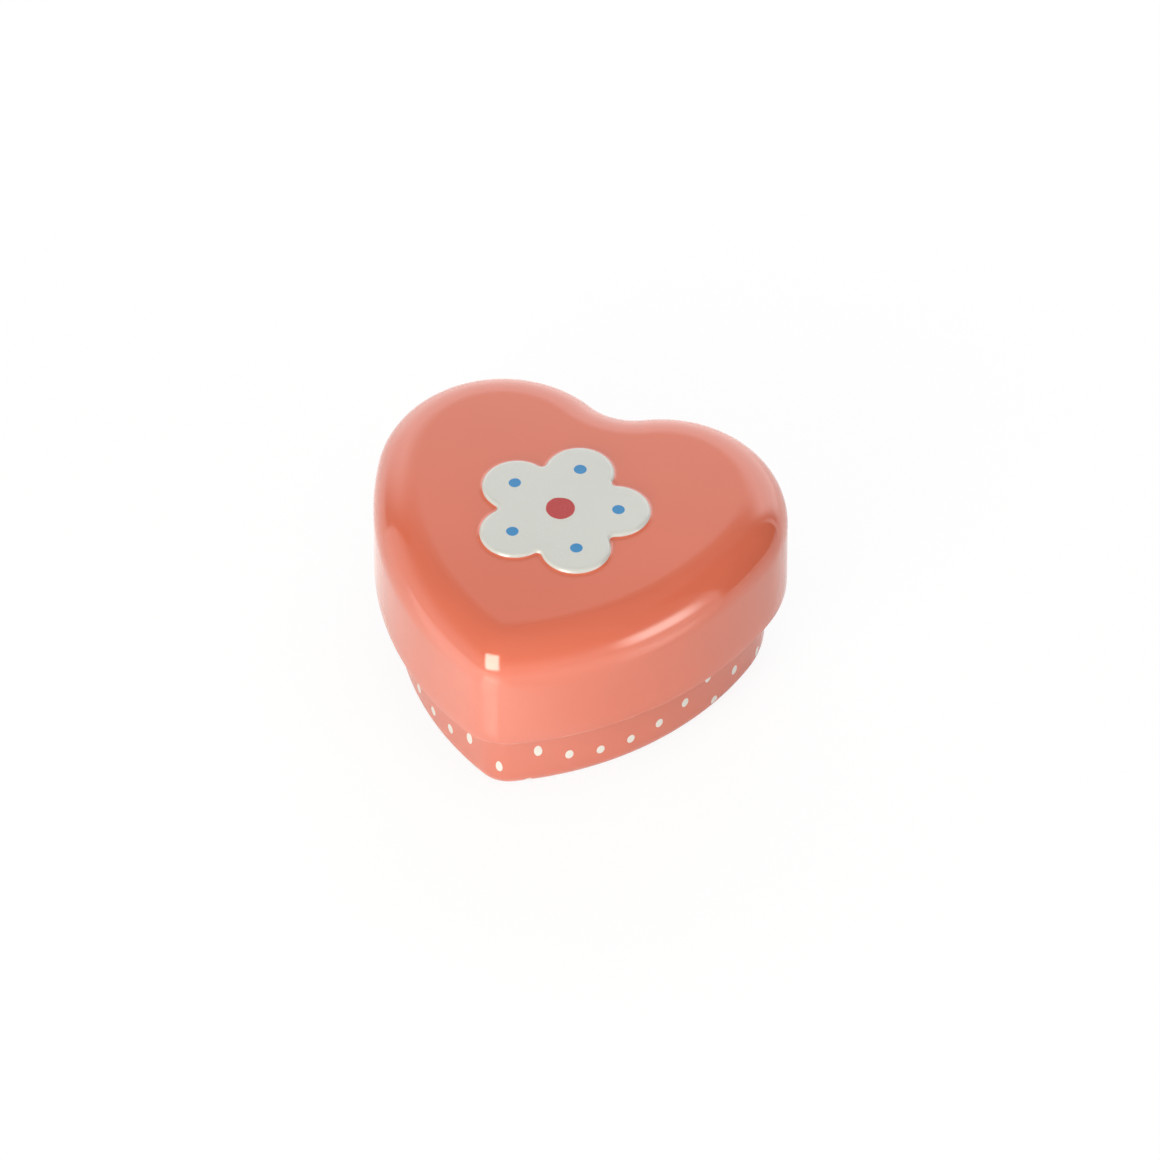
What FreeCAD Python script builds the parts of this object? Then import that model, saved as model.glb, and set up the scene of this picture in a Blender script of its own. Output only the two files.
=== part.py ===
import FreeCAD, Part
import Sketcher
import math
import os

# Heart-shaped keepsake tin in millimetres: a drawn sheet-metal base and a slip lid.
# +Z is up, the heart's tip points to -Y, and the origin is under the middle of the lid on the table.

# Driving sizes: alias, value, meaning
driving_sizes = [
    ("tin_width", "60", "lid across both lobes"),
    ("tin_length", "56.9", "lid from the tip to the ends of the lobes"),
    ("tin_height", "30.4", "table to the lid's flat top"),
    ("lobe_radius", "18", "outline of the lid at each lobe"),
    ("side_radius", "49.3", "outline of the lid along each side"),
    ("tip_radius", "8.3", "outline of the lid at the tip"),
    ("cleft_radius", "7.4", "outline of the lid in the cleft"),
    ("sheet_thickness", "0.3", "tinplate of both pieces"),
    ("lid_height", "17.8", "lid's rim to its flat top"),
    ("lid_corner_radius", "6.6", "rounded edge round the lid's top"),
    ("hem_height", "2", "fold inside the lid's rim"),
    ("roll_radius", "0.75", "rolled edge round the base's rim"),
    ("slip_clearance", "0.15", "lid's hem to the base's rolled edge"),
    ("seat_clearance", "0.15", "rolled edge to the rounded corner that it stops in"),
    ("wall_draft", "2.9", "lean of the base's wall, in degrees"),
    ("base_corner_radius", "3", "rounded edge round the base's bottom"),
    ("panel_tip_radius", "0.9", "least radius left at the tip of a flat panel"),
    ("emblem_ring_radius", "7.8", "middle of the emblem to the middle of a petal"),
    ("petal_radius", "4.9", "round end of a petal"),
    ("notch_radius", "0.8", "rounding between two petals"),
    ("emblem_forward", "1.6", "emblem's middle beyond the lid's middle, towards the cleft"),
    ("emboss_height", "0.6", "emblem above the lid's flat top"),
    ("emboss_edge_radius", "0.35", "rounded edge of the emblem"),
]

# Sizes worked out from the driving ones: alias, formula, meaning
derived_sizes = [
    ("lobe_across", "=tin_width / 2 - lobe_radius", "centre of a lobe's arc, from the middle plane"),
    ("lobe_beyond", "=tin_length / 2 - lobe_radius", "centre of a lobe's arc, towards the cleft"),
    ("tip_before", "=tin_length / 2 - tip_radius", "centre of the tip's arc, towards the tip"),
    ("rim_height", "=tin_height - lid_height", "lid's rim above the table"),
    ("panel_lap", "=sheet_thickness", "flat edge of a wall's section, under the panel"),
    ("widest_corner", "=tip_radius - panel_lap - panel_tip_radius", "widest inset of a rounded edge"),
    ("lid_corner", "=min(lid_corner_radius; widest_corner)", "lid's rounded edge as built"),
    ("roll_inset", "=2 * sheet_thickness + slip_clearance + roll_radius", "outline to the roll's centre"),
    ("roll_reach", "=lid_corner - sheet_thickness - roll_radius - seat_clearance", "corner to roll centres"),
    ("roll_rise", "=sqrt(roll_reach ^ 2 - (lid_corner - roll_inset) ^ 2)", "roll above the corner's centre"),
    ("roll_height", "=tin_height - lid_corner + roll_rise", "roll's centre above the table"),
    ("wall_lean", "=roll_height * tan(wall_draft)", "base's wall inwards from its roll to the table"),
    ("wall_inset", "=roll_inset + roll_radius - sheet_thickness + wall_lean", "outline to the wall's foot"),
    ("base_corner", "=min(base_corner_radius; widest_corner - wall_inset)", "base's rounded edge as built"),
    ("corner_offset", "=roll_radius - sheet_thickness + base_corner", "between two lines along the wall"),
    ("corner_drop", "=roll_height - base_corner", "roll's centre above the base corner's centre"),
    ("corner_lean", "=corner_drop * sin(wall_draft)", "part of the wall's lean between those centres"),
    ("corner_inset", "=roll_inset + (corner_offset + corner_lean) / cos(wall_draft)", "to the base's flat"),
]

petal_count = 5
out_folder = "parts"

doc = FreeCAD.newDocument("keepsake_tin")
sizes = doc.addObject("Spreadsheet::Sheet", "Sizes")
for row, (alias, value, meaning) in enumerate(driving_sizes + derived_sizes, start=1):
    sizes.set(f"A{row}", meaning)
    sizes.set(f"B{row}", value)
    sizes.setAlias(f"B{row}", alias)
doc.recompute()


def plane(body, role):
    return next(item for item in body.Origin.OriginFeatures if item.Role == role)


def new_sketch(body, name, role, height="0"):
    sketch = body.newObject("Sketcher::SketchObject", name)
    sketch.AttachmentSupport = [(plane(body, role), "")]
    sketch.MapMode = "FlatFace"
    sketch.setExpression("AttachmentOffset.Base.z", height)
    return sketch


def number(sketch, formula):
    return float(sketch.evalExpression(formula))


def bind(sketch, name, formula, kind, *points):
    index = sketch.addConstraint(Sketcher.Constraint(kind, *points, number(sketch, formula)))
    sketch.renameConstraint(index, name)
    sketch.setExpression(f"Constraints.{name}", formula)


# Numbers that a sketch gives to a curve's three points and to its own two axes, which start at its origin
begin, finish, centre = range(1, 4)
level_axis, upright_axis = range(-1, -3, -1)
sketch_origin = (level_axis, begin)


def bind_along(sketch, name, formula, kind, curve, point):
    """Holds one coordinate of a point, measured from the side of the origin that it is on."""
    if number(sketch, formula) < 0:
        bind(sketch, name, f"-({formula})", kind, curve, point, *sketch_origin)
    else:
        bind(sketch, name, formula, kind, *sketch_origin, curve, point)


def pin(sketch, name, curve, point, across, along):
    """Holds a point of a curve at two formulas; across 0 is on the sketch's upright axis."""
    if across == "0":
        sketch.addConstraint(Sketcher.Constraint("PointOnObject", curve, point, upright_axis))
    else:
        bind_along(sketch, f"{name}_across", across, "DistanceX", curve, point)
    bind_along(sketch, f"{name}_along", along, "DistanceY", curve, point)


def add_arc(sketch, middle, radius, start, end):
    circle = Part.Circle(FreeCAD.Vector(*middle, 0), FreeCAD.Vector(0, 0, 1), radius)
    return sketch.addGeometry(Part.ArcOfCircle(circle, start, end), False)


def add_line(sketch, start, end):
    line = Part.LineSegment(FreeCAD.Vector(*start, 0), FreeCAD.Vector(*end, 0))
    return sketch.addGeometry(line, False)


def join(sketch, kind, first, first_end, second, second_end):
    sketch.addConstraint(Sketcher.Constraint(kind, first, first_end, second, second_end))


def direction(start, end):
    return math.atan2(end[1] - start[1], end[0] - start[0])


def heart_half(body, name, inset, height="0", closed=False):
    """Right half of the heart, drawn a given distance inside the lid's outline, from tip to cleft."""
    sketch = new_sketch(body, name, "XY_Plane", height)
    gap = number(sketch, inset)
    tip_radius = number(sketch, "Sizes.tip_radius")
    side_radius = number(sketch, "Sizes.side_radius")
    lobe_radius = number(sketch, "Sizes.lobe_radius")
    cleft_radius = number(sketch, "Sizes.cleft_radius")
    tip = (0, -number(sketch, "Sizes.tip_before"))
    lobe = (number(sketch, "Sizes.lobe_across"), number(sketch, "Sizes.lobe_beyond"))
    cleft = (0, lobe[1] + math.sqrt((lobe_radius + cleft_radius) ** 2 - lobe[0] ** 2))

    # The side's arc holds the tip's and the lobe's arcs inside it
    to_tip = side_radius - tip_radius
    to_lobe = side_radius - lobe_radius
    span = math.dist(tip, lobe)
    turn = math.acos((to_tip ** 2 + span ** 2 - to_lobe ** 2) / (2 * to_tip * span))
    toward_side = direction(tip, lobe) + turn
    side = (tip[0] + to_tip * math.cos(toward_side), tip[1] + to_tip * math.sin(toward_side))

    tip_end = direction(side, tip)
    side_end = direction(side, lobe)
    lobe_end = direction(lobe, cleft)
    tip_arc = add_arc(sketch, tip, tip_radius - gap, -math.pi / 2, tip_end)
    side_arc = add_arc(sketch, side, side_radius - gap, tip_end, side_end)
    lobe_arc = add_arc(sketch, lobe, lobe_radius - gap, side_end, lobe_end)
    cleft_arc = add_arc(sketch, cleft, cleft_radius + gap, -math.pi / 2, lobe_end - math.pi)

    join(sketch, "Tangent", tip_arc, finish, side_arc, begin)
    join(sketch, "Tangent", side_arc, finish, lobe_arc, begin)
    join(sketch, "Tangent", lobe_arc, finish, cleft_arc, finish)
    bind(sketch, "tip_radius", f"Sizes.tip_radius - ({inset})", "Radius", tip_arc)
    bind(sketch, "side_radius", f"Sizes.side_radius - ({inset})", "Radius", side_arc)
    bind(sketch, "lobe_radius", f"Sizes.lobe_radius - ({inset})", "Radius", lobe_arc)
    bind(sketch, "cleft_radius", f"Sizes.cleft_radius + ({inset})", "Radius", cleft_arc)
    pin(sketch, "tip", tip_arc, centre, "0", "-Sizes.tip_before")
    pin(sketch, "lobe", lobe_arc, centre, "Sizes.lobe_across", "Sizes.lobe_beyond")
    sketch.addConstraint(Sketcher.Constraint("PointOnObject", cleft_arc, centre, upright_axis))
    for arc in (tip_arc, cleft_arc):
        sketch.addConstraint(Sketcher.Constraint("PointOnObject", arc, begin, upright_axis))
    if closed:
        middle_line = add_line(sketch, (0, tip[1] - tip_radius + gap), (0, cleft[1] - cleft_radius - gap))
        join(sketch, "Coincident", middle_line, begin, tip_arc, begin)
        join(sketch, "Coincident", middle_line, finish, cleft_arc, begin)
    return sketch


def wall_place(inset):
    """Where a section's point lies across the middle plane, from its distance inside the outline."""
    return f"({inset}) - Sizes.tin_length / 2"


def straighten(sketch, kind, *lines):
    for line in lines:
        sketch.addConstraint(Sketcher.Constraint(kind, line))


def lid_section(body):
    """Section of the lid's wall at the tip: rounded top edge, straight wall and folded hem."""
    sketch = new_sketch(body, "lid_section", "YZ_Plane")
    thick = number(sketch, "Sizes.sheet_thickness")
    corner = number(sketch, "Sizes.lid_corner")
    outside = number(sketch, wall_place("0"))
    inside = outside + thick
    hem_inside = inside + thick
    shoulder = number(sketch, "Sizes.tin_height - Sizes.lid_corner")
    rim = number(sketch, "Sizes.rim_height")
    hem_top = number(sketch, "Sizes.rim_height + Sizes.hem_height")
    flat_edge = outside + corner
    lap_edge = flat_edge + number(sketch, "Sizes.panel_lap")
    top = number(sketch, "Sizes.tin_height")
    underside = top - thick

    lap_top = add_line(sketch, (lap_edge, top), (flat_edge, top))
    corner_out = add_arc(sketch, (flat_edge, shoulder), corner, math.pi / 2, math.pi)
    wall_out = add_line(sketch, (outside, shoulder), (outside, rim + thick))
    fold = add_arc(sketch, (inside, rim + thick), thick, math.pi, 2 * math.pi)
    hem_face = add_line(sketch, (hem_inside, rim + thick), (hem_inside, hem_top))
    hem_end = add_line(sketch, (hem_inside, hem_top), (inside, hem_top))
    wall_in = add_line(sketch, (inside, hem_top), (inside, shoulder))
    corner_in = add_arc(sketch, (flat_edge, shoulder), corner - thick, math.pi / 2, math.pi)
    lap_under = add_line(sketch, (flat_edge, underside), (lap_edge, underside))
    lap_end = add_line(sketch, (lap_edge, underside), (lap_edge, top))

    join(sketch, "Tangent", lap_top, finish, corner_out, begin)
    join(sketch, "Tangent", corner_out, finish, wall_out, begin)
    join(sketch, "Tangent", wall_out, finish, fold, begin)
    join(sketch, "Tangent", fold, finish, hem_face, begin)
    join(sketch, "Coincident", hem_face, finish, hem_end, begin)
    join(sketch, "Coincident", hem_end, finish, wall_in, begin)
    join(sketch, "Tangent", wall_in, finish, corner_in, finish)
    join(sketch, "Tangent", corner_in, begin, lap_under, begin)
    join(sketch, "Coincident", lap_under, finish, lap_end, begin)
    join(sketch, "Coincident", lap_end, finish, lap_top, begin)
    join(sketch, "Coincident", corner_out, centre, corner_in, centre)
    straighten(sketch, "Horizontal", lap_top, hem_end, lap_under)
    straighten(sketch, "Vertical", wall_out, hem_face, wall_in, lap_end)

    corner_height = "Sizes.tin_height - Sizes.lid_corner"
    pin(sketch, "corner", corner_out, centre, wall_place("Sizes.lid_corner"), corner_height)
    bind(sketch, "corner_radius", "Sizes.lid_corner", "Radius", corner_out)
    bind(sketch, "corner_inner_radius", "Sizes.lid_corner - Sizes.sheet_thickness", "Radius", corner_in)
    bind(sketch, "fold_radius", "Sizes.sheet_thickness", "Radius", fold)
    bind_along(sketch, "fold_height", "Sizes.rim_height + Sizes.sheet_thickness", "DistanceY", fold, centre)
    bind_along(sketch, "hem_height", "Sizes.rim_height + Sizes.hem_height", "DistanceY", hem_end, begin)
    bind(sketch, "lap", "Sizes.panel_lap", "DistanceX", lap_top, finish, lap_top, begin)
    return sketch


def base_section(body):
    """Section of the base's wall at the tip: rounded bottom edge, leaning wall and outward roll."""
    sketch = new_sketch(body, "base_section", "YZ_Plane")
    thick = number(sketch, "Sizes.sheet_thickness")
    corner = number(sketch, "Sizes.base_corner")
    roll = number(sketch, "Sizes.roll_radius")
    draft = math.radians(number(sketch, "Sizes.wall_draft"))
    flat_edge = number(sketch, wall_place("Sizes.corner_inset"))
    lap_edge = flat_edge + number(sketch, "Sizes.panel_lap")
    corner_at = (flat_edge, corner)
    roll_at = (number(sketch, wall_place("Sizes.roll_inset")), number(sketch, "Sizes.roll_height"))
    inward = (math.cos(draft), math.sin(draft))

    def beside(point, distance):
        return (point[0] + distance * inward[0], point[1] + distance * inward[1])

    lap_under = add_line(sketch, (lap_edge, 0), (flat_edge, 0))
    corner_out = add_arc(sketch, corner_at, corner, math.pi + draft, 3 * math.pi / 2)
    wall_out = add_line(sketch, beside(corner_at, -corner), beside(roll_at, roll - thick))
    roll_in = add_arc(sketch, roll_at, roll - thick, draft, 3 * math.pi / 2)
    roll_end = add_line(sketch, (roll_at[0], roll_at[1] - roll + thick), (roll_at[0], roll_at[1] - roll))
    roll_out = add_arc(sketch, roll_at, roll, draft, 3 * math.pi / 2)
    wall_in = add_line(sketch, beside(roll_at, roll), beside(corner_at, thick - corner))
    corner_in = add_arc(sketch, corner_at, corner - thick, math.pi + draft, 3 * math.pi / 2)
    lap_top = add_line(sketch, (flat_edge, thick), (lap_edge, thick))
    lap_end = add_line(sketch, (lap_edge, thick), (lap_edge, 0))

    join(sketch, "Tangent", lap_under, finish, corner_out, finish)
    join(sketch, "Tangent", corner_out, begin, wall_out, begin)
    join(sketch, "Tangent", wall_out, finish, roll_in, begin)
    join(sketch, "Coincident", roll_in, finish, roll_end, begin)
    join(sketch, "Coincident", roll_end, finish, roll_out, finish)
    join(sketch, "Tangent", roll_out, begin, wall_in, begin)
    join(sketch, "Tangent", wall_in, finish, corner_in, begin)
    join(sketch, "Tangent", corner_in, finish, lap_top, begin)
    join(sketch, "Coincident", lap_top, finish, lap_end, begin)
    join(sketch, "Coincident", lap_end, finish, lap_under, begin)
    join(sketch, "Coincident", corner_out, centre, corner_in, centre)
    join(sketch, "Coincident", roll_out, centre, roll_in, centre)
    straighten(sketch, "Horizontal", lap_under, lap_top)
    straighten(sketch, "Vertical", roll_end, lap_end)
    sketch.addConstraint(Sketcher.Constraint("Vertical", roll_in, finish, roll_in, centre))

    pin(sketch, "corner", corner_out, centre, wall_place("Sizes.corner_inset"), "Sizes.base_corner")
    pin(sketch, "roll", roll_out, centre, wall_place("Sizes.roll_inset"), "Sizes.roll_height")
    bind(sketch, "corner_radius", "Sizes.base_corner", "Radius", corner_out)
    bind(sketch, "corner_inner_radius", "Sizes.base_corner - Sizes.sheet_thickness", "Radius", corner_in)
    bind(sketch, "roll_radius", "Sizes.roll_radius", "Radius", roll_out)
    bind(sketch, "roll_inner_radius", "Sizes.roll_radius - Sizes.sheet_thickness", "Radius", roll_in)
    bind(sketch, "lap", "Sizes.panel_lap", "DistanceX", lap_under, finish, lap_under, begin)
    return sketch


def shell(body, section, panel_inset, panel_height):
    """A section carried round the right half of the heart, its flat panel, and both mirrored."""
    path = heart_half(body, f"{body.Label}_path", "0")
    wall = body.newObject("PartDesign::AdditivePipe", f"{body.Label}_wall")
    wall.Profile = section
    wall.Spine = (path, ["Edge1", "Edge2", "Edge3", "Edge4"])

    outline = heart_half(body, f"{body.Label}_panel_outline", panel_inset, panel_height, closed=True)
    panel = body.newObject("PartDesign::Pad", f"{body.Label}_panel")
    panel.Profile = outline
    panel.setExpression("Length", "Sizes.sheet_thickness")

    both = body.newObject("PartDesign::Mirrored", f"{body.Label}_both_halves")
    both.Originals = [wall, panel]
    both.MirrorPlane = (plane(body, "YZ_Plane"), [""])
    body.Tip = both
    doc.recompute()
    return both


def flower(body, name, inset, height):
    """Outline of the emblem, drawn a given distance inside its edge: round petals and rounded notches."""
    sketch = new_sketch(body, name, "XY_Plane", height)
    sketch.setExpression("AttachmentOffset.Base.y", "Sizes.emblem_forward")
    gap = number(sketch, inset)
    ring = number(sketch, "Sizes.emblem_ring_radius")
    petal_radius = number(sketch, "Sizes.petal_radius")
    notch_radius = number(sketch, "Sizes.notch_radius")
    half_turn = math.pi / petal_count
    half_span = ring * math.sin(half_turn)
    reach = math.sqrt((petal_radius + notch_radius) ** 2 - half_span ** 2)
    notch_ring = ring * math.cos(half_turn) + reach

    def at(distance, angle):
        return (distance * math.cos(angle), distance * math.sin(angle))

    petals, notches = [], []
    for petal in range(petal_count):
        angle = math.pi / 2 + 2 * half_turn * petal
        middle = at(ring, angle)
        before = direction(middle, at(notch_ring, angle - half_turn))
        after = direction(middle, at(notch_ring, angle + half_turn))
        petals.append(add_arc(sketch, middle, petal_radius - gap, before, after))
    for petal in range(petal_count):
        angle = math.pi / 2 + 2 * half_turn * petal
        middle = at(notch_ring, angle + half_turn)
        before = direction(middle, at(ring, angle + 2 * half_turn))
        after = direction(middle, at(ring, angle))
        notches.append(add_arc(sketch, middle, notch_radius + gap, before, after))

    for petal in range(petal_count):
        name_of_petal = f"petal_{petal + 1}"
        turn = f"360 * {petal} / {petal_count}"
        across = "0" if petal == 0 else f"-Sizes.emblem_ring_radius * sin({turn})"
        pin(sketch, name_of_petal, petals[petal], centre, across, f"Sizes.emblem_ring_radius * cos({turn})")
        bind(sketch, f"{name_of_petal}_radius", f"Sizes.petal_radius - ({inset})", "Radius", petals[petal])
        bind(sketch, f"notch_{petal + 1}_radius", f"Sizes.notch_radius + ({inset})", "Radius", notches[petal])
        join(sketch, "Tangent", petals[petal], finish, notches[petal], finish)
        join(sketch, "Tangent", notches[petal], begin, petals[(petal + 1) % petal_count], begin)
    return sketch


def edges_at(feature, height):
    """Names of the edges that lie flat at a height."""
    tolerance = Part.Precision.confusion()
    names = []
    for index, edge in enumerate(feature.Shape.Edges, start=1):
        box = edge.BoundBox
        if abs(box.ZMin - height) < tolerance and abs(box.ZMax - height) < tolerance:
            names.append(f"Edge{index}")
    return names


# Lid: wall and top panel, with the emblem pressed up from below
lid = doc.addObject("PartDesign::Body", "lid")
lid_underside = "Sizes.tin_height - Sizes.sheet_thickness"
shell(lid, lid_section(lid), "Sizes.lid_corner + Sizes.panel_lap / 2", lid_underside)

emblem = lid.newObject("PartDesign::Pad", "emblem")
emblem.Profile = flower(lid, "emblem_outline", "0", "Sizes.tin_height")
emblem.setExpression("Length", "Sizes.emboss_height")
doc.recompute()

recess = lid.newObject("PartDesign::Pocket", "emblem_recess")
recess.Profile = flower(lid, "emblem_recess_outline", "Sizes.sheet_thickness", lid_underside)
recess.Reversed = True
recess.setExpression("Length", "Sizes.emboss_height")
doc.recompute()

emblem_edge = lid.newObject("PartDesign::Fillet", "emblem_edge")
emblem_top = number(sizes, "tin_height + emboss_height")
emblem_edge.Base = (recess, edges_at(recess, emblem_top))
emblem_edge.setExpression("Radius", "Sizes.emboss_edge_radius")
doc.recompute()

# Base: wall with its rolled rim, and the flat bottom
base = doc.addObject("PartDesign::Body", "base")
shell(base, base_section(base), "Sizes.corner_inset + Sizes.panel_lap / 2", "0")

for item in doc.Objects:
    if "Invalid" in item.State or "Error" in item.State:
        raise RuntimeError(f"{item.Name} failed: {item.State}")
for body in (lid, base):
    if body.Shape.isNull() or not body.Shape.isValid():
        raise RuntimeError(f"{body.Label} has no valid shape")

os.makedirs(out_folder, exist_ok=True)
for body in (lid, base):
    body.Shape.exportStep(f"{out_folder}/{body.Label}.step")
    box = body.Shape.BoundBox
    print(body.Label, "solids", len(body.Shape.Solids), "volume", round(body.Shape.Volume, 2),
          "box", [round(value, 3) for value in (box.XMin, box.YMin, box.ZMin, box.XMax, box.YMax, box.ZMax)])
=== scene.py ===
import math

import bmesh
import bpy
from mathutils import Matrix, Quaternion, Vector


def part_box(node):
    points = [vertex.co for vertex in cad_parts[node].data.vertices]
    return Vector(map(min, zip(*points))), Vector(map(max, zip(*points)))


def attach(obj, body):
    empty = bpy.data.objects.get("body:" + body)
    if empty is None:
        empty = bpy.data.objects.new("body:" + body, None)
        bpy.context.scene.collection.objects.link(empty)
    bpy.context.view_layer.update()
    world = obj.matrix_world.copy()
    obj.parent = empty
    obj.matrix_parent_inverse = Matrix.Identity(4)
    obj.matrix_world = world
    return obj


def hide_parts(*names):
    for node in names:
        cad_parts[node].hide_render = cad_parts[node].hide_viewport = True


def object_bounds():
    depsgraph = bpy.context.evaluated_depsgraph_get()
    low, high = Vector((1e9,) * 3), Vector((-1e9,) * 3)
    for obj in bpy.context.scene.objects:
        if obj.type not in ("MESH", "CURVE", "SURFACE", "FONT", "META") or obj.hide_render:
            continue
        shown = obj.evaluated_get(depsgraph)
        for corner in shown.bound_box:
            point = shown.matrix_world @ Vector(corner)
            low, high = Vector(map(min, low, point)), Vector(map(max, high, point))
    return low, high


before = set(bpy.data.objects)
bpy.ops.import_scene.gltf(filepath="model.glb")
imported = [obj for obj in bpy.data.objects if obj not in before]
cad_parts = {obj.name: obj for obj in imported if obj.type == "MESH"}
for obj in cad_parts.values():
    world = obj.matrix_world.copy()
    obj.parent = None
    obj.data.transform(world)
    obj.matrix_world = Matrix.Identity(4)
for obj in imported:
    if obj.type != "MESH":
        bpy.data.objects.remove(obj)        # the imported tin: a base, and a lid that lifts off it
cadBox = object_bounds()
lidLow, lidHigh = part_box("lid")
baseLow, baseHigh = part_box("base")

mm = 0.001
weld = 0.0005 * mm       # vertices nearer than this are one
straight = 1e-6          # a bend per metre under this counts as none
print("frame loaded:", ", ".join(sorted(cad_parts)))

sheet = {
    "thickness": 0.3 * mm,
    "lap": 0.3 * mm,             # level strip round each flat panel, which keeps the panel's shading flat
    "crease": math.radians(40),  # edges that turn more than this are shaded sharp
}

# The lid's outline from above, in arcs, with its tip towards -Y
heart = {
    "tipRadius": 8.3 * mm,
    "sideRadius": 49.3 * mm,
    "lobeRadius": 18 * mm,
    "cleftRadius": 7.4 * mm,
    "widestStep": math.radians(2.5),
    "longestStep": 1 * mm,
}


def heading(start, end):
    return math.atan2(end.y - start.y, end.x - start.x)


def mirrored(place):
    return Vector((-place.x, place.y, place.z))


def heartArcs():
    tip = Vector((0, lidLow.y + heart["tipRadius"], 0))
    lobe = Vector((lidHigh.x - heart["lobeRadius"], lidHigh.y - heart["lobeRadius"], 0))
    toCleft = heart["lobeRadius"] + heart["cleftRadius"]
    cleft = Vector((0, lobe.y + math.sqrt(toCleft ** 2 - lobe.x ** 2), 0))

    # the side's arc holds the tip's and the lobe's arcs inside it
    toTip = heart["sideRadius"] - heart["tipRadius"]
    toLobe = heart["sideRadius"] - heart["lobeRadius"]
    span = (lobe - tip).length
    turn = math.acos((toTip ** 2 + span ** 2 - toLobe ** 2) / (2 * toTip * span))
    towardSide = heading(tip, lobe) + turn
    side = tip + toTip * Vector((math.cos(towardSide), math.sin(towardSide), 0))

    right = [
        (tip, heart["tipRadius"], heading(side, tip) + math.pi / 2),
        (side, heart["sideRadius"], heading(side, lobe) - heading(side, tip)),
        (lobe, heart["lobeRadius"], heading(lobe, cleft) - heading(side, lobe)),
    ]
    left = [(mirrored(centre), radius, turn) for centre, radius, turn in reversed(right)]
    middle = [(cleft, heart["cleftRadius"], -math.pi - 2 * heading(cleft, lobe))]
    return right + middle + left


def stepsRound(radius, turn):
    return math.ceil(max(abs(turn) / heart["widestStep"], radius * abs(turn) / heart["longestStep"]))


def carryRound(bm, arcs):
    # spins a section along a chain of arcs
    end = bm.verts[:] + bm.edges[:]
    for centre, radius, turn in arcs:
        steps = stepsRound(radius, turn)
        made = bmesh.ops.spin(bm, geom=end, cent=centre, axis=(0, 0, 1), angle=turn, steps=steps)
        end = made["geom_last"]


def startAt(bm, place):
    return bm.verts.new(place)


def lineTo(bm, end, place, steps=1):
    start = end.co.copy()
    for number in range(1, steps + 1):
        end = bmesh.ops.extrude_vert_indiv(bm, verts=[end])["verts"][0]
        end.co = start.lerp(place, number / steps)
    return end


def arcTo(bm, end, centre, turn, steps):
    made = bmesh.ops.spin(bm, geom=[end], cent=centre, axis=(1, 0, 0), angle=turn, steps=steps)
    return made["geom_last"][0]


def atTip(inset, height):
    # a place in the section through the heart's tip, from its distance inside the lid's outline
    return Vector((0, lidLow.y + inset, height))


def openEdges(bm, height):
    return [edge for edge in bm.edges if edge.is_boundary
            and all(abs(vert.co.z - height) < weld for vert in edge.verts)]


def fillPanel(bm, edges):
    made = bmesh.ops.triangle_fill(bm, use_beauty=True, edges=edges, normal=(0, 0, 1))
    return [item for item in made["geom"] if isinstance(item, bmesh.types.BMFace)]


def paintFaces(faces, material):
    for face in faces:
        face.material_index = material
        face.smooth = True


def joinInto(bm, other):
    mesh = bpy.data.meshes.new("joined")
    other.to_mesh(mesh)
    other.free()
    bm.from_mesh(mesh)
    bpy.data.meshes.remove(mesh)


def addObject(name, bm, materials):
    mesh = bpy.data.meshes.new(name)
    bm.to_mesh(mesh)
    bm.free()
    for material in materials:
        mesh.materials.append(material)
    made = bpy.data.objects.new(name, mesh)
    bpy.context.scene.collection.objects.link(made)
    return made


def finishPiece(bm, name, node, materials):
    bmesh.ops.remove_doubles(bm, verts=bm.verts, dist=weld)
    bmesh.ops.recalc_face_normals(bm, faces=bm.faces)
    for edge in bm.edges:
        edge.smooth = edge.calc_face_angle(0) < sheet["crease"]
    piece = addObject(name, bm, materials)
    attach(piece, node)
    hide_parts(node)
    print(name, "faces:", len(piece.data.polygons))


# Materials
def newMaterial(name):
    material = bpy.data.materials.new(name)
    material.use_nodes = True
    return material, material.node_tree, material.node_tree.nodes["Principled BSDF"]


def addNode(tree, kind, values=None, **settings):
    # values are given by the names or numbers of the node's inputs, and a socket among them is linked
    node = tree.nodes.new("ShaderNode" + kind)
    for name, value in settings.items():
        setattr(node, name, value)
    for name, value in (values or {}).items():
        if isinstance(value, bpy.types.NodeSocket):
            tree.links.new(value, node.inputs[name])
        else:
            node.inputs[name].default_value = value
    return node


def mapRange(tree, value, start, end, low=0, high=1, smooth=False):
    values = {"Value": value, "From Min": start, "From Max": end, "To Min": low, "To Max": high}
    kind = "SMOOTHSTEP" if smooth else "LINEAR"
    return addNode(tree, "MapRange", values, interpolation_type=kind).outputs["Result"]


def mixColour(tree, share, first, second):
    # the colours are inputs 6 and 7 of the node, and its output 2
    return addNode(tree, "Mix", {0: share, 6: first, 7: second}, data_type="RGBA").outputs[2]


def calculate(tree, operation, first, second=0, third=0):
    return addNode(tree, "Math", {0: first, 1: second, 2: third}, operation=operation).outputs["Value"]


def vectorNode(tree, operation, first, second=(0, 0, 0), third=(0, 0, 0)):
    return addNode(tree, "VectorMath", {0: first, 1: second, 2: third}, operation=operation)


def noise(tree, place, size, detail=2):
    values = {"Vector": place, "Scale": 1 / size, "Detail": detail}
    return addNode(tree, "TexNoise", values).outputs["Fac"]


def textureSpace(tree, place, scale, turn=(0, 0, 0), start=(0, 0, 0)):
    # the place as a texture with its own start, turn and scale reads it
    values = {"Vector": place, "Location": start, "Rotation": turn, "Scale": scale}
    return addNode(tree, "Mapping", values, vector_type="TEXTURE").outputs["Vector"]


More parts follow.
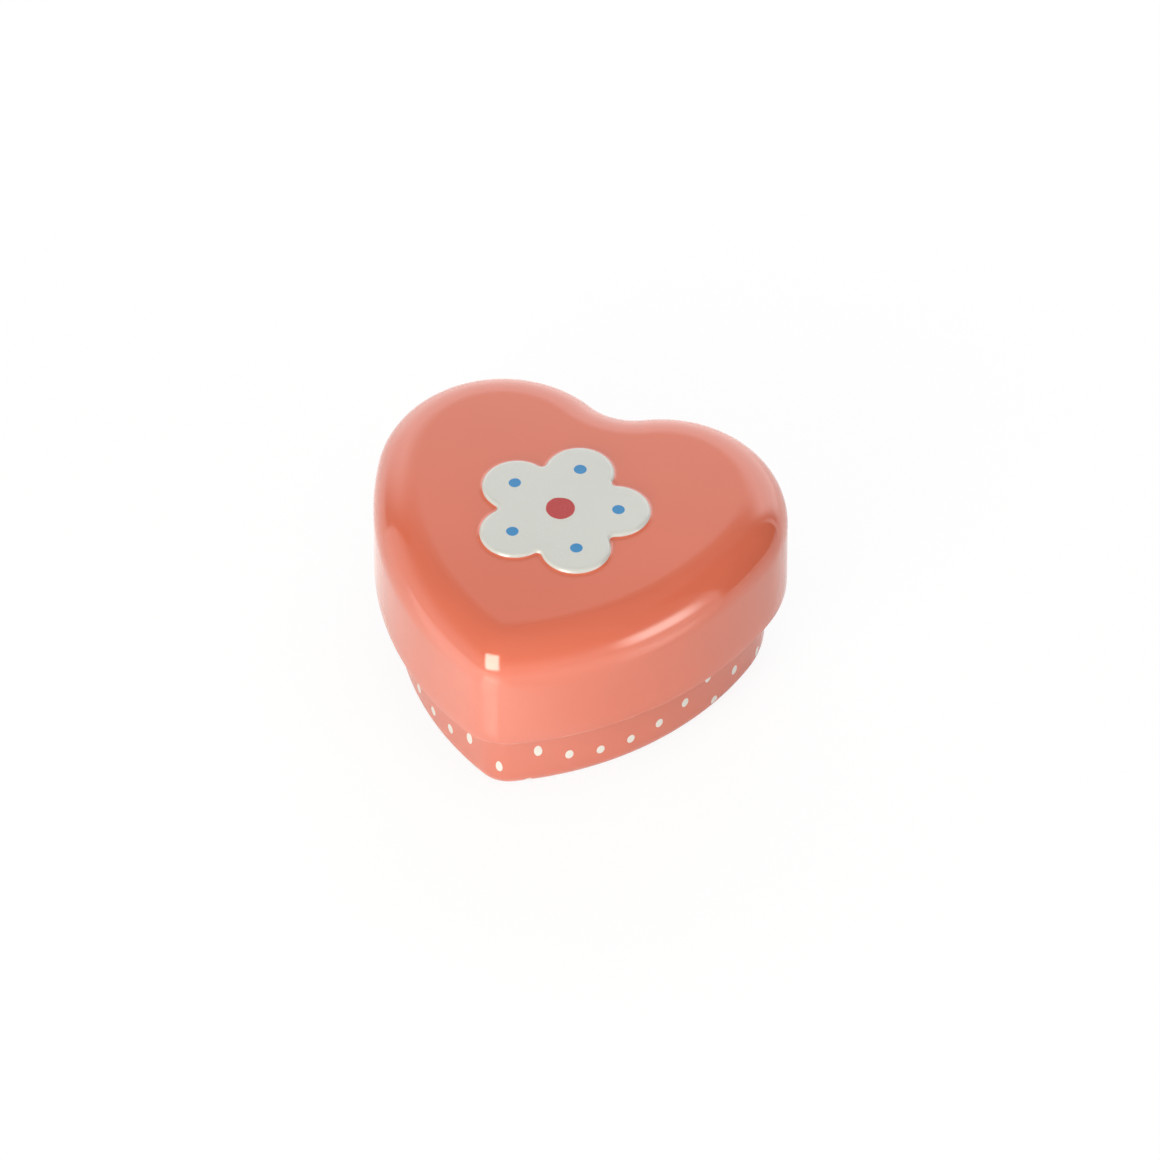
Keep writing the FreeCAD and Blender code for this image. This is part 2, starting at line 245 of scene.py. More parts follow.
def addBump(tree, shader, depth, height):
    bump = addNode(tree, "Bump", {"Strength": 1, "Distance": depth, "Height": height})
    tree.links.new(bump.outputs["Normal"], shader.inputs["Normal"])


lacquer = {
    "peelSize": 1.6 * mm,        # ripples left by the enamel as it levelled
    "tintSize": 24 * mm,
    "tintRange": (0.3, 0.7),
    "tintShift": 0.025,
    "smearSize": 9 * mm,         # where fingers dulled the gloss a little
    "smearRange": (0.4, 0.7),
    "hairline": (26 * mm, 0.09 * mm, 0.09 * mm),
    "hairlineTurns": (math.radians(24), math.radians(-52)),
    "hairlineRange": (0.71, 0.77),   # only the top of the noise shows as hairlines
    "hairlineRoughness": 0.16,
}


def makeLacquerFinish():
    group = bpy.data.node_groups.new("lacquerFinish", "ShaderNodeTree")
    colour, number = "NodeSocketColor", "NodeSocketFloat"
    sockets = {
        "INPUT": {"Paint": colour, "Low Roughness": number, "High Roughness": number},
        "OUTPUT": {"Paint": colour, "Roughness": number, "Height": number},
    }
    for way, kinds in sockets.items():
        for name, kind in kinds.items():
            group.interface.new_socket(name, in_out=way, socket_type=kind)
    given = group.nodes.new("NodeGroupInput").outputs
    out = group.nodes.new("NodeGroupOutput").inputs
    place = addNode(group, "TexCoord").outputs["Object"]

    shift = lacquer["tintShift"]
    cloud = noise(group, place, lacquer["tintSize"])
    tint = mapRange(group, cloud, *lacquer["tintRange"], 1 - shift, 1 + shift)
    paint = addNode(group, "VectorMath", {0: given["Paint"]}, operation="SCALE")
    group.links.new(tint, paint.inputs["Scale"])
    group.links.new(paint.outputs["Vector"], out["Paint"])

    touched = noise(group, place, lacquer["smearSize"], detail=4)
    low, high = given["Low Roughness"], given["High Roughness"]
    dulled = mapRange(group, touched, *lacquer["smearRange"], low, high, smooth=True)
    for turn in lacquer["hairlineTurns"]:
        line = textureSpace(group, place, lacquer["hairline"], (0, turn / 2, turn))
        scratch = mapRange(group, noise(group, line, size=1, detail=1), *lacquer["hairlineRange"])
        dulled = calculate(group, "MULTIPLY_ADD", scratch, lacquer["hairlineRoughness"], dulled)
    group.links.new(dulled, out["Roughness"])
    group.links.new(noise(group, place, lacquer["peelSize"]), out["Height"])
    return group


lacquerFinish = makeLacquerFinish()
coat = {
    "coral": (0.64, 0.146, 0.083, 1),
    "ivory": (0.58, 0.588, 0.555, 1),
    "roughness": (0.07, 0.11),
    "ivoryRoughness": (0.2, 0.27),
    "peelDepth": 0.0022 * mm,
    "specular": 1.0,             # more than plain varnish, as a stoved enamel has
}


def enamel(tree, shader, paint, roughness):
    low, high = roughness
    values = {"Paint": paint, "Low Roughness": low, "High Roughness": high}
    finish = addNode(tree, "Group", values, node_tree=lacquerFinish).outputs
    tree.links.new(finish["Paint"], shader.inputs["Base Color"])
    tree.links.new(finish["Roughness"], shader.inputs["Roughness"])
    addBump(tree, shader, coat["peelDepth"], finish["Height"])
    shader.inputs["Specular IOR Level"].default_value = coat["specular"]


rub = {
    "height": 0.27 * mm,         # the lid's folded edge, where the enamel is rubbed thin
    "paint": (0.78, 0.42, 0.34, 1),
    "patchSize": 3.5 * mm,
    "patchRange": (0.36, 0.56),
}


def coralLacquer():
    material, tree, shader = newMaterial("coralLacquer")
    place = addNode(tree, "TexCoord").outputs["Object"]
    height = addNode(tree, "SeparateXYZ", {"Vector": place}).outputs["Z"]
    low = mapRange(tree, height, lidLow.z + rub["height"], lidLow.z + rub["height"] / 2)
    patches = mapRange(tree, noise(tree, place, rub["patchSize"], detail=3), *rub["patchRange"])
    worn = calculate(tree, "MULTIPLY", low, patches)
    enamel(tree, shader, mixColour(tree, worn, coat["coral"], rub["paint"]), coat["roughness"])
    return material


# White dots, printed in rows on the flat sheet before it was drawn into the base
dots = {
    "pitch": 5.09 * mm,
    "turn": math.radians(46.5),
    "place": (-0.01 * mm, 1.67 * mm, 0),
    "radius": 0.65 * mm,
    "edge": 0.05 * mm,
    "ink": (0.73, 0.72, 0.67, 1),
}


def dottedLacquer():
    material, tree, shader = newMaterial("dottedLacquer")
    printed = addNode(tree, "UVMap", uv_map="printedSheet").outputs["UV"]
    pitch = dots["pitch"]
    lattice = textureSpace(tree, printed, (pitch, pitch, pitch), (0, 0, dots["turn"]), dots["place"])

    # each square of the lattice has its dot in the middle
    square = vectorNode(tree, "WRAP", lattice, (0.5, 0.5, 0.5), (-0.5, -0.5, -0.5)).outputs["Vector"]
    away = vectorNode(tree, "LENGTH", square).outputs["Value"]
    rim, blur = dots["radius"] / pitch, dots["edge"] / pitch
    ink = mapRange(tree, away, rim + blur, rim - blur, smooth=True)
    enamel(tree, shader, mixColour(tree, ink, coat["coral"], dots["ink"]), coat["roughness"])
    return material


tinplate = {
    "colour": (0.72, 0.71, 0.69, 1),
    "stain": (0.60, 0.57, 0.53, 1),
    "stainSize": 14 * mm,
    "stainRange": (0.42, 0.72),
    "rolling": (0.05 * mm, 9 * mm, 9 * mm),      # fine lines along the way the sheet was rolled
    "rollingRange": (0.3, 0.7),
    "rollingDepth": 0.0012 * mm,
    "roughness": (0.24, 0.38),
}


def bareTinplate():
    material, tree, shader = newMaterial("bareTinplate")
    place = addNode(tree, "TexCoord").outputs["Object"]
    lines = noise(tree, textureSpace(tree, place, tinplate["rolling"]), size=1, detail=3)
    cloud = noise(tree, place, tinplate["stainSize"], detail=5)
    stain = mapRange(tree, cloud, *tinplate["stainRange"], smooth=True)
    paint = mixColour(tree, stain, tinplate["colour"], tinplate["stain"])
    dulled = mapRange(tree, lines, *tinplate["rollingRange"], *tinplate["roughness"])
    tree.links.new(paint, shader.inputs["Base Color"])
    tree.links.new(dulled, shader.inputs["Roughness"])
    addBump(tree, shader, tinplate["rollingDepth"], lines)
    shader.inputs["Metallic"].default_value = 1
    return material


# The raised flower in the middle of the lid's top
emblemSizes = {
    "middle": Vector((0, 1.6 * mm, 0)),
    "ringRadius": 7.8 * mm,
    "petalRadius": 4.9 * mm,
    "notchRadius": 0.8 * mm,
    "petals": 5,
    "height": 0.6 * mm,
    "bendRadius": 0.6 * mm,
    "bendSteps": 8,
    "ivoryFrom": 0.2 * mm,       # above the lid's top by this much, the enamel is ivory
    "discRadius": 2.1 * mm,      # the printed red middle
    "discInk": (0.42, 0.01, 0.01, 1),
    "spotRadius": 0.9 * mm,      # the printed blue spot on each petal
    "spotRing": 8.2 * mm,
    "spotInk": (0.006, 0.2, 0.47, 1),
    "inkEdge": 0.06 * mm,
    "inkWander": 0.08 * mm,      # how far the ink's edge strays, and on the spots a share of it
    "spotWander": 0.5,
    "wanderSize": 2.4 * mm,
    "wanderRange": (0.3, 0.7),
}
topHeight = lidHigh.z - emblemSizes["height"]


def emblemLacquer():
    material, tree, shader = newMaterial("emblemLacquer")
    place = addNode(tree, "TexCoord").outputs["Object"]
    wander = emblemSizes["inkWander"]
    strayed = noise(tree, place, emblemSizes["wanderSize"], detail=1)
    wobble = mapRange(tree, strayed, *emblemSizes["wanderRange"], -wander, wander)
    fromMiddle = vectorNode(tree, "SUBTRACT", place, emblemSizes["middle"]).outputs["Vector"]
    parts = addNode(tree, "SeparateXYZ", {"Vector": fromMiddle}).outputs
    out = addNode(tree, "CombineXYZ", {"X": parts["X"], "Y": parts["Y"]}).outputs["Vector"]
    length = vectorNode(tree, "LENGTH", out).outputs["Value"]
    toMiddle = calculate(tree, "ADD", length, wobble)

    # every petal is turned onto the first, so that one spot serves all
    half = math.pi / emblemSizes["petals"]
    turn = calculate(tree, "WRAP", calculate(tree, "ARCTAN2", parts["X"], parts["Y"]), half, -half)
    aside = calculate(tree, "MULTIPLY", length, calculate(tree, "SINE", turn))
    ahead = calculate(tree, "MULTIPLY", length, calculate(tree, "COSINE", turn))
    beyond = calculate(tree, "SUBTRACT", ahead, emblemSizes["spotRing"])
    onPetal = addNode(tree, "CombineXYZ", {"X": aside, "Y": beyond}).outputs["Vector"]
    toSpot = vectorNode(tree, "LENGTH", onPetal).outputs["Value"]
    toSpot = calculate(tree, "MULTIPLY_ADD", wobble, emblemSizes["spotWander"], toSpot)

    def inked(distance, radius):
        edge = emblemSizes["inkEdge"]
        return mapRange(tree, distance, radius + edge, radius - edge, smooth=True)

    spots = inked(toSpot, emblemSizes["spotRadius"])
    disc = inked(toMiddle, emblemSizes["discRadius"])
    paint = mixColour(tree, spots, coat["ivory"], emblemSizes["spotInk"])
    paint = mixColour(tree, disc, paint, emblemSizes["discInk"])
    enamel(tree, shader, paint, coat["ivoryRoughness"])
    return material


coral = coralLacquer()
dotted = dottedLacquer()
ivory = emblemLacquer()
tin = bareTinplate()
print("materials made")


def flowerArcs():
    halfTurn = math.pi / emblemSizes["petals"]
    ring, petal = emblemSizes["ringRadius"], emblemSizes["petalRadius"]
    notch = emblemSizes["notchRadius"]
    reach = math.sqrt((petal + notch) ** 2 - (ring * math.sin(halfTurn)) ** 2)
    notchRing = ring * math.cos(halfTurn) + reach

    def around(distance, turn):
        return emblemSizes["middle"] + distance * Vector((-math.sin(turn), math.cos(turn), 0))

    petalTurn = heading(around(ring, 0), around(notchRing, halfTurn)) - math.pi / 2
    notchTurn = 2 * halfTurn - 2 * petalTurn
    arcs = []
    for number in range(emblemSizes["petals"]):
        turn = 2 * halfTurn * number
        arcs += [
            (around(ring, turn), petal, petalTurn),
            (around(notchRing, turn + halfTurn), notch, notchTurn),
            (around(ring, turn + 2 * halfTurn), petal, petalTurn),
        ]
    return arcs


def embossRing(depth):
    # the flower's edge: a bend up and a bend back to level, on the sheet's face at a depth
    bm = bmesh.new()
    bend, height = emblemSizes["bendRadius"], emblemSizes["height"]
    lean = math.acos(1 - height / (2 * bend))
    halfWidth = bend * math.sin(lean)
    outer = emblemSizes["middle"].y + emblemSizes["ringRadius"] + emblemSizes["petalRadius"]

    def across(out, up):
        return Vector((0, outer + out, topHeight + up))

    foot = lineTo(bm, startAt(bm, across(halfWidth + sheet["lap"], -depth)), across(halfWidth, -depth))
    slope = arcTo(bm, foot, across(halfWidth, bend), -lean, emblemSizes["bendSteps"])
    shoulder = arcTo(bm, slope, across(-halfWidth, height - bend), lean, emblemSizes["bendSteps"])
    lineTo(bm, shoulder, across(-halfWidth - sheet["lap"], height - depth))
    carryRound(bm, flowerArcs())
    bmesh.ops.remove_doubles(bm, verts=bm.verts, dist=weld)
    return bm


# Lid
lidSizes = {
    "cornerRadius": 6.6 * mm,
    "hemHeight": 2 * mm,
    "cornerSteps": 24,
    "foldSteps": 8,
    "wallSteps": 6,
}


def lidSkin(outside):
    bm = bmesh.new()
    corner, thick = lidSizes["cornerRadius"], sheet["thickness"]
    rim = lidLow.z
    hemTop = rim + lidSizes["hemHeight"]
    depth = 0 if outside else thick
    end = startAt(bm, atTip(corner + sheet["lap"], topHeight - depth))
    end = lineTo(bm, end, atTip(corner, topHeight - depth))
    end = arcTo(bm, end, atTip(corner, topHeight - corner), math.pi / 2, lidSizes["cornerSteps"])
    if outside:
        end = lineTo(bm, end, atTip(0, rim + thick), lidSizes["wallSteps"])
        end = arcTo(bm, end, atTip(thick, rim + thick), math.pi, lidSizes["foldSteps"])
        end = lineTo(bm, end, atTip(2 * thick, hemTop))
        lineTo(bm, end, atTip(thick, hemTop))
    else:
        lineTo(bm, end, atTip(thick, hemTop), lidSizes["wallSteps"])
    carryRound(bm, heartArcs())
    bmesh.ops.remove_doubles(bm, verts=bm.verts, dist=weld)
    joinInto(bm, embossRing(depth))
    fillPanel(bm, openEdges(bm, topHeight - depth))
    fillPanel(bm, openEdges(bm, topHeight + emblemSizes["height"] - depth))
    return bm


def makeLid():
    bm = lidSkin(outside=True)
    paintFaces(bm.faces, 0)
    level = topHeight + emblemSizes["ivoryFrom"]
    paintFaces([face for face in bm.faces if face.calc_center_median().z > level], 1)
    inside = lidSkin(outside=False)
    paintFaces(inside.faces, 2)
    joinInto(bm, inside)
    finishPiece(bm, "lid_shell", "lid", [coral, ivory, tin])


# Base
baseSizes = {
    "cornerRadius": 3 * mm,
    "rollRadius": 0.75 * mm,
    "draft": math.radians(2.9),
    "cornerSteps": 12,
    "rollSteps": 20,
    "wallSteps": 10,
    "wallStretch": 1.1,          # how much the drawn wall was lengthened
    "bendPull": 1.75,            # how much further than its area asks the sheet was drawn in at the tip
    "bendReach": 6 * mm,         # how far along the outline a bend draws the sheet
    "tipSlip": 0.8 * mm,         # how much more it slipped up round the tip's bend
    "tipReach": 3 * mm,
    "pulledUpTo": 12 * mm,       # along the sheet from the bottom's edge, above which the wall only slid up
    "slideReach": 14 * mm,       # how far along the outline the ways that it slid were evened out
}


def baseSkin(outside):
    bm = bmesh.new()
    corner, roll, draft = baseSizes["cornerRadius"], baseSizes["rollRadius"], baseSizes["draft"]
    thick = sheet["thickness"]
    rollInset = baseLow.y - lidLow.y + roll
    rollHeight = baseHigh.z - roll
    lean = roll - thick + corner + (rollHeight - corner) * math.sin(draft)
    flatInset = rollInset + lean / math.cos(draft)
    cornerMiddle = atTip(flatInset, corner)
    rollMiddle = atTip(rollInset, rollHeight)
    inward = Vector((0, math.cos(draft), math.sin(draft)))
    depth = 0 if outside else thick
    end = startAt(bm, atTip(flatInset + sheet["lap"], depth))
    end = lineTo(bm, end, atTip(flatInset, depth))
    end = arcTo(bm, end, cornerMiddle, draft - math.pi / 2, baseSizes["cornerSteps"])
    end = lineTo(bm, end, rollMiddle + (roll - thick + depth) * inward, baseSizes["wallSteps"])

    # the rim rolls outwards until its raw edge is at the bottom of the roll
    end = arcTo(bm, end, rollMiddle, 1.5 * math.pi - draft, baseSizes["rollSteps"])
    if outside:
        lineTo(bm, end, atTip(rollInset, rollHeight - roll))
        printSheet(bm, flatInset)
    else:
        carryRound(bm, heartArcs())
    bmesh.ops.remove_doubles(bm, verts=bm.verts, dist=weld)
    bottom = fillPanel(bm, openEdges(bm, depth))
    if outside:
        printed = bm.loops.layers.uv["printedSheet"]
        for face in bottom:
            for loop in face.loops:
                loop[printed].uv = loop.vert.co.xy
    return bm


def walkSection(bm):
    # the section's vertices in order from the bottom, each with its distance along the sheet
    vert, edge, along = bm.verts[0], None, -sheet["lap"]
    places = [(vert, along)]
    while True:
        ahead = [item for item in vert.link_edges if item is not edge]
        if not ahead:
            return places
        edge = ahead[0]
        along += edge.calc_length()
        vert = edge.other_vert(vert)
        places.append((vert, along))


def drawnWays(flatInset):
    # at each column, the bottom's edge and the way out of it that the sheet came in by: square to the
    # outline, but straight from the back between the tops of the lobes
    bm = bmesh.new()
    lineTo(bm, startAt(bm, atTip(flatInset, 0)), atTip(flatInset - mm, 0))
    carryRound(bm, heartArcs())
    places = [vert.co.copy() for vert in bm.verts]
    bm.free()
    edges = places[0::2]
    lobeTop = lidHigh.x - heart["lobeRadius"]
    drawnBack = [edge.y > 0 and abs(edge.x) < lobeTop for edge in edges]
    ways = []
    for edge, beyond, back in zip(edges, places[1::2], drawnBack):
        ways.append(Vector((0, 1, 0)) if back else (beyond - edge) / mm)
    return edges, ways, drawnBack


def outlineSteps(drawnBack):
    # the swept outline's steps, each with its middle, length and bend, and the places of its columns
    steps, columns = [], [0]
    for centre, radius, turn in heartArcs():
        count = stepsRound(radius, turn)
        length = radius * abs(turn) / count
        for number in range(count):
            bend = 0 if drawnBack[len(columns)] else math.copysign(1 / radius, turn)
            steps.append((columns[-1] + length / 2, length, bend))
            columns.append(columns[-1] + length)
    return steps, columns


def evenOut(values, steps, columns, reach):
    # at each column, the mean of the steps' numbers or vectors, with the near ones counting most
    nothing = values[0] * 0
    means = []
    for column in columns:
        weights = []
        for place, length, bend in steps:
            gap = abs(column - place)
            gap = min(gap, columns[-1] - gap)
            weights.append(length * math.exp(-(gap / reach) ** 2 / 2))
        total = sum((value * weight for value, weight in zip(values, weights)), nothing)
        means.append(total / sum(weights))
    return means


def reachOnSheet(section, bend, slip, flatInset):
    # how far out from the bottom's edge each place of a section lay on the flat sheet
    corner = baseSizes["cornerRadius"] * (math.pi / 2 - baseSizes["draft"])
    edgeBend = bend / (1 - bend * flatInset)
    reaches = []
    area = plain = last = 0
    for inset, place in section:
        along = min(place, baseSizes["pulledUpTo"])
        turned = min(max(along / corner, 0), 1)
        stretch = 1 + (baseSizes["wallStretch"] - 1) * turned
        step = (along - last) / stretch
        plain += step
        area += step * (1 - bend * inset) / (1 - bend * flatInset)
        last = along
        kept = plain
        if abs(edgeBend) > straight:
            kept = (math.sqrt(1 + 2 * edgeBend * area) - 1) / edgeBend
        reaches.append(plain + baseSizes["bendPull"] * (kept - plain) - slip * turned)
    return reaches


def printSheet(bm, flatInset):
    # carries the section round, and maps each place to where it lay on the flat, printed sheet
    bm.verts.ensure_lookup_table()
    order = bm.verts.layers.int.new("order")
    section = []
    for number, (vert, along) in enumerate(walkSection(bm)):
        vert[order] = number
        section.append((vert.co.y - lidLow.y, along))
    carryRound(bm, heartArcs())
    bm.verts.index_update()

    edges, ways, drawnBack = drawnWays(flatInset)
    steps, columns = outlineSteps(drawnBack)
    bends = evenOut([bend for place, length, bend in steps], steps, columns, baseSizes["bendReach"])
    midways = [first + second for first, second in zip(ways, ways[1:])]
    slides = [way.normalized() for way in evenOut(midways, steps, columns, baseSizes["slideReach"])]

    reaches = []
    for column, bend in zip(columns, bends):
        fromTip = min(column, columns[-1] - column) / baseSizes["tipReach"]
        slip = baseSizes["tipSlip"] * math.exp(-fromTip ** 2 / 2)
        reaches.append(reachOnSheet(section, bend, slip, flatInset))
    printed = bm.loops.layers.uv.new("printedSheet")
    for face in bm.faces:
        for loop in face.loops:
            column, row = loop.vert.index // len(section), loop.vert[order]
            slid = max(section[row][1] - baseSizes["pulledUpTo"], 0) / baseSizes["wallStretch"]
            place = edges[column] + ways[column] * reaches[column][row] + slides[column] * slid
            loop[printed].uv = place.xy


def makeBase():
    bm = baseSkin(outside=True)
    paintFaces(bm.faces, 0)
    inside = baseSkin(outside=False)
    paintFaces(inside.faces, 1)
    joinInto(bm, inside)
    finishPiece(bm, "base_shell", "base", [dotted, tin])


makeLid()
makeBase()


# Studio: azimuth 0 is in front of the heart's tip and grows towards +X
def towards(azimuth, elevation):
    level = math.cos(elevation)
    return Vector((math.sin(azimuth) * level, -math.cos(azimuth) * level, math.sin(elevation)))


studioMiddle = Vector((0, 0, (cadBox[0].z + cadBox[1].z) / 2))


def grey(level):
    return (level, level, level, 1)


def putStage(name, bm, material):
    thing = addObject(name, bm, [material])
    return thing


def emptyMaterial(name):
    material, tree, shader = newMaterial(name)
    tree.nodes.remove(shader)
    return material, tree, tree.nodes["Material Output"].inputs["Surface"]


# A white floor: the camera sees it nearly plain; the tin mirrors it glossy, with painted light and shade in
# it
floorLook = {
    "halfSize": 2.0,
    "drop": 0.05 * mm,           # under the tin's bottom by this much
    "paint": 0.85,
    "roughness": 0.04,
    "specular": 1.0,
    "white": 0.9,                # the share of the seen floor that is plain white, the rest is shaded
    "seenRoughness": 0.6,
    "seenSpecular": 0.1,
    "paintedMirrorGlow": 0.27,       # a painted glow, added to the floor's light and shade where the tin mirrors the floor
    "poolAzimuth": math.radians(2),
    "poolRange": (14 * mm, 47 * mm),     # a painted pool of light in front of the tip, seen only in the tin's gloss
    "poolGain": 3.1,
    "dimRange": (10 * mm, 30 * mm),      # painted shade: less of the glow on the right
    "dimGain": 0.37,
}


def makeFloor():
    material, tree, glossy = newMaterial("whiteFloor")
    rays = addNode(tree, "LightPath").outputs
    place = addNode(tree, "TexCoord").outputs["Object"]
    out = towards(floorLook["poolAzimuth"], 0)
    ahead = vectorNode(tree, "DOT_PRODUCT", place, out).outputs["Value"]
    pool = mapRange(tree, ahead, *floorLook["poolRange"], 1, floorLook["poolGain"], smooth=True)
    right = addNode(tree, "SeparateXYZ", {"Vector": place}).outputs["X"]
    dim = mapRange(tree, right, *floorLook["dimRange"], 1, floorLook["dimGain"], smooth=True)
    # painted light and shade: the floor glows for mirror rays only, more in a pool in front of the tip and
    # less to the right
    inMirror = calculate(tree, "MAXIMUM", rays["Is Glossy Ray"], rays["Is Transmission Ray"])
    white = calculate(tree, "MULTIPLY", inMirror, floorLook["paintedMirrorGlow"])
    white = calculate(tree, "MULTIPLY", white, calculate(tree, "MULTIPLY", pool, dim))
    glossy.inputs["Base Color"].default_value = grey(floorLook["paint"])
    glossy.inputs["Roughness"].default_value = floorLook["roughness"]
    glossy.inputs["Specular IOR Level"].default_value = floorLook["specular"]
    glossy.inputs["Emission Color"].default_value = grey(1)
    tree.links.new(white, glossy.inputs["Emission Strength"])

    matte = addNode(tree, "BsdfPrincipled", {
        "Base Color": grey(floorLook["paint"] * (1 - floorLook["white"])),
        "Roughness": floorLook["seenRoughness"],
        "Specular IOR Level": floorLook["seenSpecular"],
        "Emission Color": grey(1),
        "Emission Strength": floorLook["white"],
    }).outputs["BSDF"]
    seen = rays["Is Camera Ray"]
    top = addNode(tree, "MixShader", {0: seen, 1: glossy.outputs["BSDF"], 2: matte}).outputs["Shader"]
    clear = addNode(tree, "BsdfTransparent").outputs["BSDF"]
    below = addNode(tree, "NewGeometry").outputs["Backfacing"]
    top = addNode(tree, "MixShader", {0: below, 1: top, 2: clear}).outputs["Shader"]
    tree.links.new(top, tree.nodes["Material Output"].inputs["Surface"])
    bm = bmesh.new()
    bmesh.ops.create_grid(bm, x_segments=1, y_segments=1, size=floorLook["halfSize"])
    bmesh.ops.translate(bm, verts=bm.verts, vec=(0, 0, -floorLook["drop"]))
    putStage("floor", bm, material)


# A white sweep close behind the tin, bright at its foot and fading upwards and towards its ends
backCard = {
    "azimuth": math.radians(-170),
    "distance": 250 * mm,
    "left": 600 * mm,
    "right": 320 * mm,
    "height": 400 * mm,
    "bright": 1.85,
    "dim": 0.3,
    "fadeRange": (180 * mm, 365 * mm),
    "endRanges": ((-220 * mm, -590 * mm), (170 * mm, 280 * mm)),
    "endGlow": 0.1,
}

# A black card that keeps light off the right side
darkCard = {
    "azimuth": math.radians(115),
    "distance": 250 * mm,
    "left": 85 * mm,
    "right": 85 * mm,
    "height": 420 * mm,
    "paint": 0.01,
}


def standCard(name, card, material):
    bm = bmesh.new()
    back = towards(card["azimuth"], 0)
    aside = back.cross(Vector((0, 0, 1)))
    foot = back * card["distance"]
    end = startAt(bm, foot - aside * card["left"])
    lineTo(bm, end, foot + aside * card["right"])
    made = bmesh.ops.extrude_edge_only(bm, edges=bm.edges[:])
    risen = [item for item in made["geom"] if isinstance(item, bmesh.types.BMVert)]
    bmesh.ops.translate(bm, verts=risen, vec=(0, 0, card["height"]))
    thing = putStage(name, bm, material)
    thing.visible_camera = False


def makeCards():
    material, tree, surface = emptyMaterial("whiteSweep")
    place = addNode(tree, "TexCoord").outputs["Object"]
    parts = addNode(tree, "SeparateXYZ", {"Vector": place}).outputs
    bright, dim = backCard["bright"], backCard["dim"]
    glow = mapRange(tree, parts["Z"], *backCard["fadeRange"], bright, dim, smooth=True)
    for endRange in backCard["endRanges"]:
        fade = mapRange(tree, parts["X"], *endRange, 1, backCard["endGlow"], smooth=True)
        glow = calculate(tree, "MULTIPLY", glow, fade)
    tree.links.new(addNode(tree, "Emission", {"Strength": glow}).outputs["Emission"], surface)
    standCard("backCard", backCard, material)

    material, tree, surface = emptyMaterial("blackCard")
    black = addNode(tree, "BsdfDiffuse", {"Color": grey(darkCard["paint"])})
    tree.links.new(black.outputs["BSDF"], surface)
    standCard("darkCard", darkCard, material)


# Lamps behind cloth, each brightest in its middle and fading over a share of its width at each edge
softboxes = {
    "frontBox": {
        "azimuth": math.radians(-11), "elevation": math.radians(24.5), "distance": 300 * mm,
        "width": 158 * mm, "height": 228 * mm, "turn": math.radians(14), "fade": 0.2,
        "radiance": 7.6, "colour": (1, 0.97, 0.84), "mirrored": True},
    "rightBox": {
        "azimuth": math.radians(76), "elevation": math.radians(15), "distance": 300 * mm,
        "width": 190 * mm, "height": 150 * mm, "turn": 0, "fade": 0.38,
        "radiance": 3.5, "colour": (1, 0.98, 0.92), "mirrored": True},
    "topBox": {      # a filter keeps its mirror image off the enamel
        "azimuth": math.radians(35), "elevation": math.radians(69), "distance": 500 * mm,
        "width": 700 * mm, "height": 700 * mm, "turn": 0, "fade": 0.3,
        "radiance": 1.8, "colour": (1, 1, 1), "mirrored": False},
}


def fadeEdges(lamp, box):
    lamp.use_nodes = True
    tree = lamp.node_tree
    half = 0.5       # of the lamp's width or height
    across = addNode(tree, "NewGeometry").outputs["Parametric"]
    off = vectorNode(tree, "SUBTRACT", across, (half, half, 0)).outputs["Vector"]
    off = vectorNode(tree, "ABSOLUTE", off).outputs["Vector"]
    parts = addNode(tree, "SeparateXYZ", {"Vector": off}).outputs
    glows = [mapRange(tree, parts[axis], half - box["fade"], half, 1, 0, smooth=True) for axis in "XY"]
    tree.links.new(calculate(tree, "MULTIPLY", *glows), tree.nodes["Emission"].inputs["Strength"])


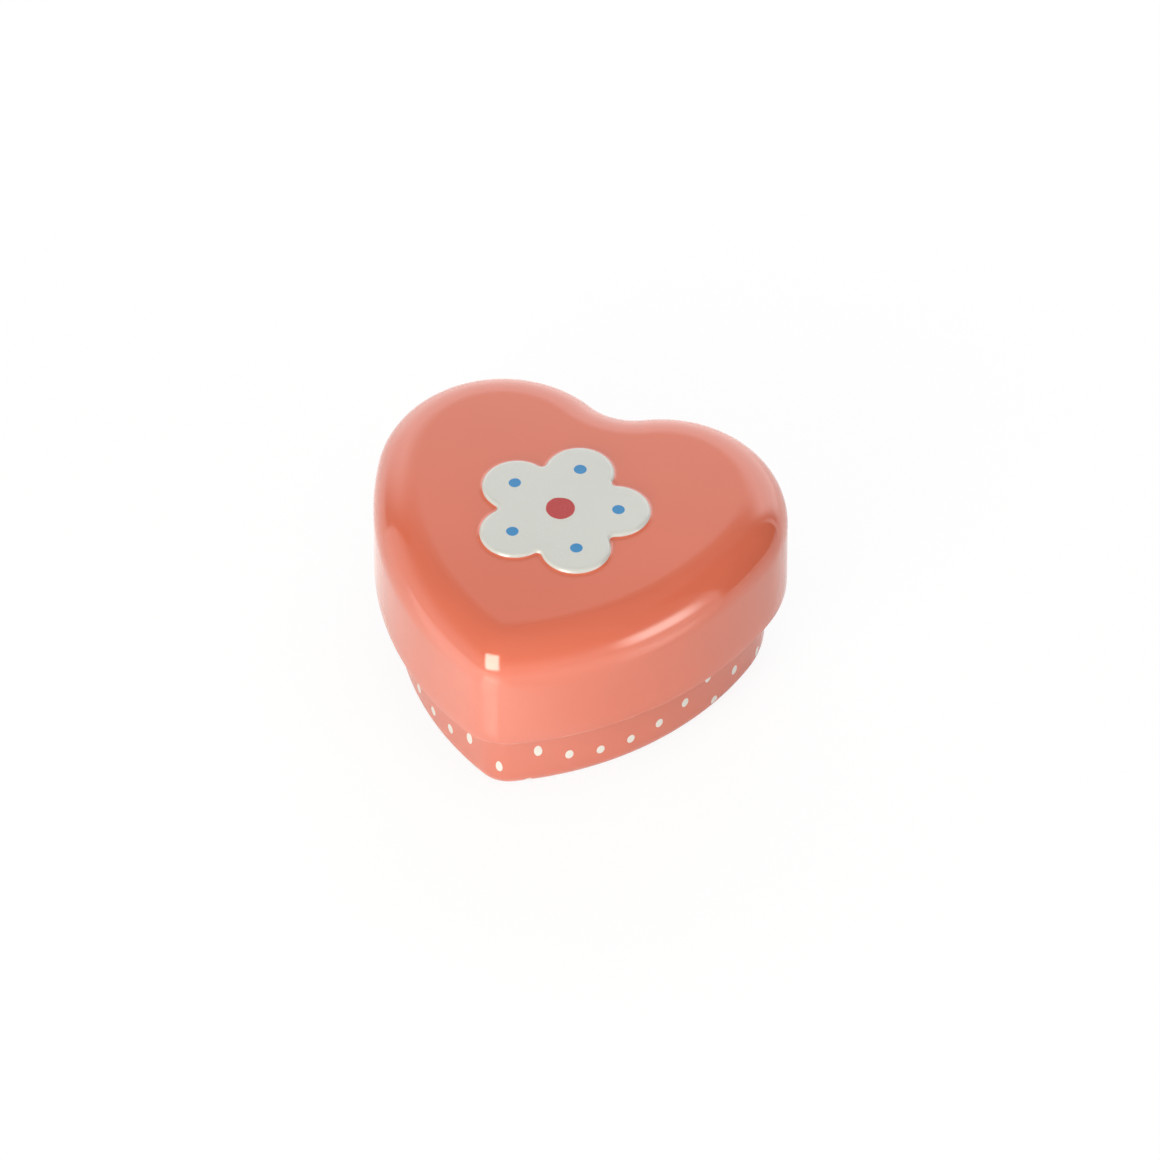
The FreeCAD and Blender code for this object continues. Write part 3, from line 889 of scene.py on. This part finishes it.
def makeSoftboxes():
    for name, box in softboxes.items():
        lamp = bpy.data.lights.new(name, "AREA")
        lamp.shape = "RECTANGLE"
        lamp.size, lamp.size_y = box["width"], box["height"]
        lamp.energy = math.pi * box["width"] * box["height"] * box["radiance"]
        lamp.color = box["colour"]
        holder = bpy.data.objects.new(name, lamp)
        bpy.context.scene.collection.objects.link(holder)
        out = towards(box["azimuth"], box["elevation"])
        holder.location = studioMiddle + out * box["distance"]
        holder.rotation_mode = "QUATERNION"
        turned = Quaternion((0, 0, 1), box["turn"])
        holder.rotation_quaternion = (-out).to_track_quat("-Z", "Y") @ turned
        holder.visible_camera = False
        holder.visible_glossy = box["mirrored"]
        fadeEdges(lamp, box)


sky = {
    "low": 0.93,                 # white round the horizon
    "high": 0.16,                # a dim ceiling
    "fadeRange": (math.sin(math.radians(8)), math.sin(math.radians(42))),
}


def makeWorld():
    world = bpy.data.worlds.new("studio")
    world.use_nodes = True
    tree = world.node_tree
    direction = addNode(tree, "TexCoord").outputs["Generated"]
    rise = addNode(tree, "SeparateXYZ", {"Vector": direction}).outputs["Z"]
    glow = mapRange(tree, rise, *sky["fadeRange"], sky["low"], sky["high"], smooth=True)
    background = tree.nodes["Background"]
    background.inputs["Color"].default_value = grey(1)
    tree.links.new(glow, background.inputs["Strength"])
    bpy.context.scene.world = world


makeFloor()
makeCards()
makeSoftboxes()
makeWorld()
print("studio lit")

# Camera at the photograph's viewing angle
view = {
    "azimuth": math.radians(19.94),
    "elevation": math.radians(45.87),
    "distance": 1875 * mm,
    "lens": 409,
    "aim": Vector((0, 0, 15.2 * mm)),
    "aside": 3.31 * mm,          # the aim is moved this much to the right and up in the picture
    "above": 1.92 * mm,
    "farthest": 100,
}


def makeCamera():
    camera = bpy.data.cameras.new("camera")
    camera.lens = view["lens"]
    camera.clip_end = view["farthest"]
    holder = bpy.data.objects.new("camera", camera)
    bpy.context.scene.collection.objects.link(holder)
    back = towards(view["azimuth"], view["elevation"])
    right = Vector((math.cos(view["azimuth"]), math.sin(view["azimuth"]), 0))
    up = back.cross(right)
    aim = view["aim"] + view["aside"] * right + view["above"] * up
    holder.location = aim + view["distance"] * back
    holder.rotation_mode = "QUATERNION"
    holder.rotation_quaternion = (-back).to_track_quat("-Z", "Y")
    bpy.context.scene.camera = holder


makeCamera()
bpy.context.scene.view_settings.view_transform = "Standard"
print("camera placed")
